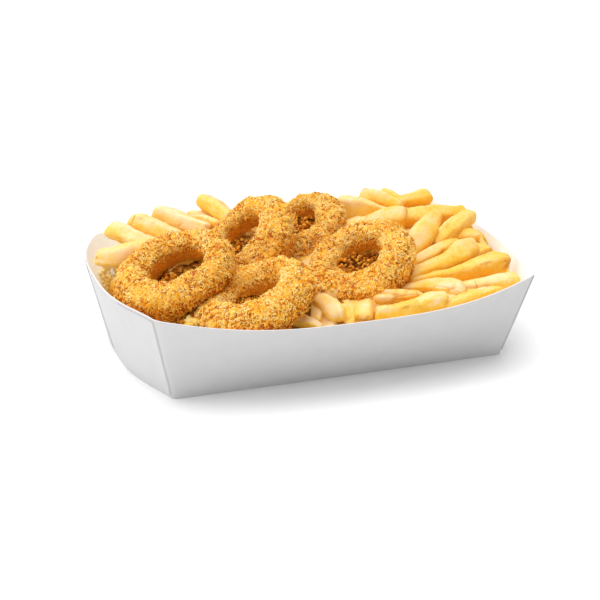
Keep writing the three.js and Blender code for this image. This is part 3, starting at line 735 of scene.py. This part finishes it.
FRIED_POTATO = fried_potato()
fries = new_piece("thick_cut_fries", FRIED_POTATO, "fried_potato", *fries_skin(
    RIGHT_FAN + LEFT_FAN + FRONT_PIECES, IN_GAPS + back_fries(), fineness=0.8, seed=40))
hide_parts("fries")
new_piece("buried_fries", FRIED_POTATO, "fried_potato", *fries_skin(
    [], buried_fries(), fineness=0.5, seed=300))

# --------------------------------------------------------------------------------- onion rings
# Five thick onion rings in a coat of breadcrumbs, fried golden brown. The coat is craggy outside
# and closer inside the eye; each ring lies tilted on the fries or on the ring under it.

RING_AROUND, RING_SECTION = 360, 92   # points round a ring and round its tube
SECTION_RISE = 1.08                   # how much taller than wide the tube's section is
FLAT_EYE = 0.65                       # under 1 makes the tube's side at the eye a flatter wall
FLAKES = 12000                        # splinters of crumb on each ring
SMALL_CRAG, BIG_CRAG = (0.9, 5), (1.3, 10)      # height and width of the coat's crags
SMALL_GRAIN, BIG_GRAIN, CLUMP = 1.05, 1.9, 3.8  # spacing of its grains and clumps
FLAKE_WIDTH, FLAKE_THICKNESS = (0.18, 0.34), (0.14, 0.28)  # of half a splinter
FLAKE_LIFT = 0.12                     # how far its middle stands off the coat
BURNT_SHARE = 0.05                    # this share of the splinters is burnt dark
FLAKE_PAINTED_SHADE = (0.12, -0.16, -0.16, 0.12)  # painted shade: how much paler each of its four corners is; the two nearer the coat are darker


def grains(points, size, seed):
    """How far each point is from the nearest of a scatter of grains, in grain sizes, and a
    number from 0 to 1 that belongs to that grain."""
    scaled = points / size
    cell = np.floor(scaled)
    nearest = np.full(len(points), 9.0)
    own = np.zeros(len(points))
    for step in itertools.product((-1, 0, 1), repeat=3):
        there = cell + np.array(step)
        spot = there + np.stack([chance(there, seed + k) for k in range(3)], axis=-1)
        distance = np.linalg.norm(scaled - spot, axis=1)
        closer = distance < nearest
        nearest = np.where(closer, distance, nearest)
        own = np.where(closer, chance(there, seed + 3), own)
    return nearest, own


def lay(ring, points):
    """Moves points from the ring's own frame to where it lies."""
    lean, heading = math.radians(ring["lean"]), math.radians(ring["towards"])
    x, y, z = points.T
    x, z = x * math.cos(lean) + z * math.sin(lean), z * math.cos(lean) - x * math.sin(lean)
    turned = x * math.cos(heading) - y * math.sin(heading)
    return np.stack([turned, x * math.sin(heading) + y * math.cos(heading), z],
                    axis=1) + ring["at"]


def ring_surface(ring, turn, roll):
    """The ring's plain skin and its outward directions, in the ring's own frame."""
    heading = turn + math.radians(ring["towards"])
    stretch = 1 + ring["oval"] * np.cos(2 * (heading - math.radians(ring["oval_to"])))
    thick = ring["tube"] * (1 + ring["fat"] * np.cos(heading - math.radians(ring["fat_to"])))
    across = np.cos(roll)
    across = np.where(across < 0, -np.abs(across) ** FLAT_EYE, across)
    reach = ring["radius"] * stretch + thick * across
    points = np.stack([reach * np.cos(turn), reach * np.sin(turn),
                       thick * SECTION_RISE * np.sin(roll)], axis=-1)
    out = np.stack([np.cos(roll) * np.cos(turn), np.cos(roll) * np.sin(turn), np.sin(roll)],
                   axis=-1)
    return points, out


def coat(ring, points, roll, seed):
    """For each point of a ring: the thickness that the crumbs add, how far out of the coat it
    stands, its crumb's tone, and how near it is to the eye."""
    crags = (SMALL_CRAG[0] * lumps(points + ring["at"][0], SMALL_CRAG[1])
             + BIG_CRAG[0] * lumps(points + seed, BIG_CRAG[1], seed))
    inner = smooth(-np.cos(roll) - 0.6 * np.sin(roll), 0.55, 1.1)
    far, big = grains(points + seed, BIG_GRAIN, 11 + seed)
    near, small = grains(points + seed, SMALL_GRAIN, 31 + seed)
    big_crumb = np.clip(1 - far, 0, 1) ** 0.7 * (0.2 + 0.8 * big)
    small_crumb = np.clip(1 - near, 0, 1) ** 0.7 * (0.15 + 0.85 * small)
    spread, clump = grains(points + seed, CLUMP, 51 + seed)
    clot = np.clip(1.1 - spread, 0, 1) * np.clip(2 * clump - 0.6, 0, 1)
    height = (1 - 0.5 * inner) * (0.95 * big_crumb + 0.6 * small_crumb + 1.1 * clot)
    thin = smooth(lumps(points + seed, 8, seed + 1), 0.15, 0.6)
    return (crags + (1 - 0.5 * thin) * height - 0.4, big_crumb + small_crumb + 0.4 * thin,
            0.15 + 0.2 * big + 0.35 * small, inner)


def copied_faces(faces, points, count):
    """The faces of so many copies of a small body, each with its own points."""
    return (faces[None] + points * np.arange(count)[:, None, None]).reshape(-1, 3)


def flakes(ring, draw):
    """Narrow four-sided splinters of crumb that lie on the coat like ruffled fur, most of them
    flat and some standing off it: points, faces, shades and the coat's outward directions."""
    turn = draw.uniform(0, 2 * math.pi, FLAKES)
    roll = draw.uniform(0, 2 * math.pi, FLAKES)
    points, out = ring_surface(ring, turn, roll)
    height, level, _, inner = coat(ring, points, roll, ring["seed"])
    flow = np.stack([lumps(points + ring["seed"], 6, 40 + k) for k in range(3)], axis=-1)
    axis = flow + 0.35 * draw.normal(size=(FLAKES, 3))
    axis = unit(axis - out * (axis * out).sum(axis=1)[:, None])
    axis = unit(axis + out * draw.uniform(-0.2, 0.9, (FLAKES, 1)))
    across = unit(np.cross(out, axis))
    rise = np.cross(axis, across)
    size = (1 - 0.35 * inner) * draw.uniform(0.75, 1.2, FLAKES)
    length = size * (0.5 + 0.6 * draw.uniform(size=FLAKES) ** 2)
    width = size * draw.uniform(*FLAKE_WIDTH, FLAKES)
    thick = size * draw.uniform(*FLAKE_THICKNESS, FLAKES)
    middle = points + out * (height + FLAKE_LIFT)[:, None]
    corners = np.stack([middle + axis * (x * length)[:, None] + across * (y * width)[:, None]
                        + rise * (z * thick)[:, None]
                        for x, y, z in ((1, 1, 1), (1, -1, -1), (-1, 1, -1), (-1, -1, 1))], axis=1)
    faces = np.array([(0, 1, 2), (0, 3, 1), (0, 2, 3), (1, 3, 2)])
    luck = draw.uniform(size=FLAKES)
    tone = np.where(luck < BURNT_SHARE, 4 * luck, 0.42 + 0.5 * luck) - 0.12 * inner
    # painted shade: a splinter's corners nearer the coat are darker, those standing off it paler
    tips = np.tile(FLAKE_PAINTED_SHADE, FLAKES)
    shades = dict(tone=np.repeat(tone, 4) + tips, level=np.repeat(level + 0.4, 4) + tips,
                  inner=np.repeat(inner, 4))
    return (corners.reshape(-1, 3), copied_faces(faces, 4, FLAKES), shades,
            np.repeat(out, 4, axis=0))


def ring_skin(ring):
    """One breaded ring where it lies: points, faces, shades, and which faces are rounded."""
    turn = np.linspace(0, 2 * math.pi, RING_AROUND, endpoint=False)
    roll = np.linspace(0, 2 * math.pi, RING_SECTION, endpoint=False)
    turn, roll = (grid.ravel() for grid in np.meshgrid(turn, roll, indexing="ij"))
    points, out = ring_surface(ring, turn, roll)
    height, level, tone, inner = coat(ring, points, roll, ring["seed"])
    skin = points + out * height[:, None]
    faces = net_faces(RING_AROUND + 1, RING_SECTION) % len(skin)
    bits, bit_faces, bit_shades, bit_out = flakes(ring, np.random.default_rng(ring["seed"]))
    everything = kept_inside(lay(ring, np.concatenate([skin, bits])), gap=0.2)
    shades = {name: np.append(values, bit_shades[name])
              for name, values in dict(tone=tone, level=level, inner=inner).items()}
    # which way each point faces up; the breading paints shade where it faces down
    shades["upward"] = lay(ring, np.concatenate([out, bit_out]))[:, 2] - ring["at"][2]
    rounded = np.append(np.ones(len(faces), bool), np.zeros(len(bit_faces), bool))
    return everything, [faces, bit_faces + len(skin)], shades, rounded


def breading():
    """Breadcrumbs fried at different speeds: cream, gold and tan grains with dark burnt ones.
    Some light comes through the thin oily coat, most of all round the eye, shown as a painted glow.
    Painted shade darkens the coat in its hollows and where it faces down."""
    finish = Finish("fried_breading")
    fine = finish.speckle(0.5, detail=3, roughness=0.7)
    patch = finish.speckle(9, detail=2)
    # painted shade: the coat's tone is made darker where it faces down
    under = finish.steps(finish.shade("upward") + 0.4 * patch, 0.75, -0.35)
    tone = finish.shade("tone") + 0.5 * fine + 0.4 * patch - 0.42 - 0.32 * under
    crumb = finish.ramp(tone, (0.0, tint(122, 50, 5)), (0.12, tint(186, 90, 9)),
                        (0.3, tint(234, 142, 20)), (0.5, tint(253, 184, 46)),
                        (0.75, tint(255, 214, 104)), (1.0, tint(255, 236, 168)))
    # painted shade: the coat is darker and redder in its hollows, where its crumbs stand low
    painted_hollow_shade = finish.steps(finish.shade("level"), 1.05, 0.3)
    sunk = finish.blend(0.85 * painted_hollow_shade, crumb, tint(176, 78, 5))
    golden = finish.blend(0.55 * finish.shade("inner"), sunk, tint(236, 146, 18))
    # painted glow: emission, strongest round the eye, standing in for light coming through the coat
    glow = finish.blend(finish.shade("inner"), (0.1, 0.04, 0.004, 1), (0.45, 0.22, 0.02, 1))
    return finish.surface(
        Base_Color=golden, Roughness=0.35 + 0.3 * fine,
        Normal=finish.bump(fine, 0.5, 0.3),
        Subsurface_Weight=0.15, Subsurface_Radius=(1.0, 0.35, 0.1), Subsurface_Scale=0.0015,
        Specular_IOR_Level=0.2, Emission_Color=glow, Emission_Strength=0.13)


BREADING = breading()
for number, ring in enumerate(RINGS):
    ring["seed"] = 5 + 3 * number
    piece = new_piece(f"breaded_{ring['name']}", BREADING, "breading", *ring_skin(ring))
    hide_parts(ring["name"])

# -------------------------------------------------------------------------------- loose crumbs
# Crumbs knocked off the coats: they lie thick in the rings' eyes and in the front left corner,
# and stick in a patch to the left wall. Under them is the heap's own surface, dusted with finer
# ones round the rings. The dusting is darkened partly with painted shade, and the bare surface
# is coloured as the gold of fries in painted shade.

CRUMBS_IN_EYE = 460
EYE_BANK = 6                          # how high they are banked against the back of an eye
BED_GRAIN, BED_ROUGH = 2.6, 0.9       # spacing and height of the lumps of the bed under them
BED_FOOT = 15                         # the bed is plain below this height, where nothing shows
DUST_NEAR, DUST_FAR = 7, 17           # so far outside a ring's tube line the dust thins and ends
CLEAR_OF_WALL = 1.3                   # how far off the board a crumb's middle stays
# Middle in plan, height over the bed, spread along X, Y and Z, how many, size, how pale.
CRUMB_HEAPS = [
    ((-84, -40), 0.5, (17, 8, 1.2), 420, 1.0, 0),
    ((-80, -47), 2.0, (12, 5, 1.2), 60, 1.6, 0.3),
    ((-9, -40), 6, (8, 9, 2.5), 420, 0.9, 0.2),
    ((-115, 57), 13, (1, 5, 5), 110, 1.1, 1.0),
    ((10, 5), 0.5, (12, 8, 1.2), 80, 0.9, 0),
    ((-55, -25), 0.5, (8, 8, 1.2), 80, 1.0, 0),
]


def round_grain():
    """A ball of 20 points, three rows of six and two poles, as points and faces."""
    turn = np.arange(6) * math.pi / 3
    points = [(0, 0, 1)]
    for rise, shift in ((0.6, 0), (0, 0.5), (-0.6, 0)):
        reach = math.sqrt(1 - rise ** 2)
        at = turn + shift * math.pi / 3
        points += list(zip(reach * np.cos(at), reach * np.sin(at), 0 * at + rise))
    points.append((0, 0, -1))
    faces = []
    for k in range(6):
        n = (k + 1) % 6
        faces += [(0, 1 + k, 1 + n), (1 + k, 7 + k, 1 + n), (1 + n, 7 + k, 7 + n),
                  (7 + k, 13 + k, 7 + n), (7 + n, 13 + k, 13 + n), (13 + k, 19, 13 + n)]
    return np.array(points), np.array(faces)


def eye_bed(ring, x, y):
    """How high the crumbs are banked in a ring's eye: most against the far wall of the eye."""
    across = (x - ring["at"][0]) / ring["radius"]
    back = (y - ring["at"][1]) / ring["radius"]
    inside = smooth(-np.hypot(across, back), -0.95, -0.75)
    return inside * EYE_BANK * smooth(back, -0.5, 0.7)


def crumb_places(draw):
    """Where every loose crumb lies, its size and how pale it is."""
    crumbs = []
    for ring in RINGS:
        inside = ring["radius"] - 1
        reach = inside * np.sqrt(draw.uniform(size=CRUMBS_IN_EYE))
        heading = draw.uniform(0, 2 * math.pi, CRUMBS_IN_EYE)
        x = ring["at"][0] + reach * np.cos(heading)
        y = ring["at"][1] + reach * np.sin(heading)
        rise = eye_bed(ring, x, y) + draw.uniform(-0.8, 1.0, len(x))
        crumbs.append((x, y, rise, draw.uniform(0.4, 1.3, CRUMBS_IN_EYE), 0 * x))
    for middle, lift, spread, count, size, pale in CRUMB_HEAPS:
        x = middle[0] + spread[0] * draw.uniform(-1, 1, count)
        y = middle[1] + spread[1] * draw.uniform(-1, 1, count)
        rise = lift + spread[2] * draw.uniform(-1, 1, count)
        crumbs.append((x, y, rise, size * draw.uniform(0.6, 1.5, count), pale + 0 * x))
    x, y, rise, size, pale = np.concatenate(crumbs, axis=1)
    return np.column_stack([x, y, heap_height(x, y) + rise]), size, pale


def crumbs_skin():
    """All the loose crumbs, each a ball stretched and roughened by chance."""
    draw = np.random.default_rng(77)
    centre, size, paleness = crumb_places(draw)
    centre = kept_inside(centre, gap=CLEAR_OF_WALL)
    ball, faces = round_grain()
    count = len(centre)
    stretch = draw.uniform(0.45, 1.4, (count, 1, 3))
    axes = np.linalg.qr(draw.normal(size=(count, 3, 3)))[0]
    rough = draw.uniform(0.55, 1.25, (count, len(ball), 1))
    points = (ball * stretch * rough * size[:, None, None]) @ axes + centre[:, None]
    tone = np.repeat(draw.uniform(0, 0.7, count) + paleness, len(ball))
    tone += draw.uniform(-0.15, 0.15, len(tone))
    pale = np.repeat(paleness, len(ball))
    shades = {"tone": tone, "level": 0.9 + pale,
              "inner": np.repeat(draw.uniform(0, 0.4, count) * (1 - paleness), len(ball)),
              "upward": 0.5 + pale}
    return kept_inside(points.reshape(-1, 3)), [copied_faces(faces, len(ball), count)], shades


def crumb_bed():
    """The surface of the hidden fries, banked up in the eyes and dusted round the rings."""
    points, faces = heap_core()
    far, tone = grains(points, BED_GRAIN, 3)
    points[:, 2] += np.where(points[:, 2] > BED_FOOT, BED_ROUGH * np.clip(1 - far, 0, 1), 0)
    for ring in RINGS:
        bank = eye_bed(ring, points[:, 0], points[:, 1])
        points[:, 2] += np.where(points[:, 2] > BED_FOOT, bank, 0)
    from_rings = [np.linalg.norm(points[:, :2] - ring["at"][:2], axis=1) - ring["radius"]
                  for ring in RINGS]
    dusted = smooth(-np.min(from_rings, axis=0), -DUST_FAR, -DUST_NEAR)
    return points, faces, {"tone": tone, "dusted": dusted}


def crumb_dust_and_shade():
    """Fine breadcrumbs near the rings, brown of their own and darkened with painted shade, over
    fries' gold darkened with painted shade.
    """
    finish = Finish("crumb_dust_and_shade")
    # painted shade: the crumbs' ramp runs darker than their own brown, for the shade in the eyes and
    # gaps
    tone = finish.shade("tone") + 1.2 * finish.speckle(1.2, detail=4, roughness=0.7) - 0.75
    crumb = finish.ramp(tone, (0, tint(74, 38, 6)), (0.5, tint(146, 86, 18)),
                        (1, tint(220, 158, 66)))
    # painted shade: the bare bed is coloured as the gold of fries lying in shade
    potato = finish.blend(finish.speckle(3), tint(150, 92, 24), tint(220, 158, 66))
    colour = finish.blend(finish.shade("dusted"), potato, crumb)
    return finish.surface(Base_Color=colour, Roughness=0.8, Specular_IOR_Level=0.05)


new_piece("crumb_bed", crumb_dust_and_shade(), "breading", *crumb_bed())
new_piece("loose_crumbs", BREADING, "breading", *crumbs_skin())

# -------------------------------------------------------------------------------------- studio
# A white table top in a pale room that fills the shadows, a broad soft lamp high up and a little
# behind the tray, and a second one on its left. The camera stands in front, a little to the left.

TABLE_SIZE = 12                       # in metres, each way
floor_mesh = bpy.data.meshes.new("table_top")
floor_mesh.from_pydata(box_corners(TABLE_SIZE, TABLE_SIZE).tolist(), [], [(0, 1, 2, 3)])
white_top = Finish("white_table_top").surface(Base_Color=tint(252, 252, 252), Roughness=0.9)
floor_mesh.materials.append(white_top)
floor = bpy.data.objects.new("table_top", floor_mesh)
bpy.context.scene.collection.objects.link(floor)


def look_at(thing, target):
    """Turns a lamp or a camera to face a spot."""
    back = (thing.location - Vector(target)).normalized()
    thing.rotation_euler = back.to_track_quat("Z", "Y").to_euler()


def lamp(name, heading, height, strength, softness):
    """A lamp far away, seen at a heading (0 is +X) and a height, both in degrees."""
    light = bpy.data.lights.new(name, "SUN")
    light.energy = strength
    light.angle = math.radians(softness)
    thing = bpy.data.objects.new(name, light)
    turn, rise = math.radians(heading), math.radians(height)
    thing.location = (math.cos(turn) * math.cos(rise), math.sin(turn) * math.cos(rise),
                      math.sin(rise))
    look_at(thing, (0, 0, 0))
    bpy.context.scene.collection.objects.link(thing)


lamp("overhead_lamp", heading=105, height=79, strength=2.3, softness=65)
lamp("side_lamp", heading=188, height=32, strength=1.15, softness=75)
world = bpy.data.worlds.new("pale_room")
world.use_nodes = True
room_light = world.node_tree.nodes["Background"].inputs
room_light["Color"].default_value = (1, 1, 1, 1)
room_light["Strength"].default_value = 0.5
bpy.context.scene.world = world

CAMERA_LENS, CAMERA_SENSOR = 88.65, 36  # both in mm
CAMERA_AT = (-0.2478, -0.7281, 0.3209)  # in metres, as is the spot it faces
CAMERA_FACES = (-0.00432, 0, 0.02251)
camera_data = bpy.data.cameras.new("camera")
camera_data.sensor_width = CAMERA_SENSOR
camera_data.lens = CAMERA_LENS
camera = bpy.data.objects.new("camera", camera_data)
camera.location = CAMERA_AT
look_at(camera, CAMERA_FACES)
bpy.context.scene.collection.objects.link(camera)
bpy.context.scene.camera = camera
bpy.context.scene.view_settings.view_transform = "Standard"
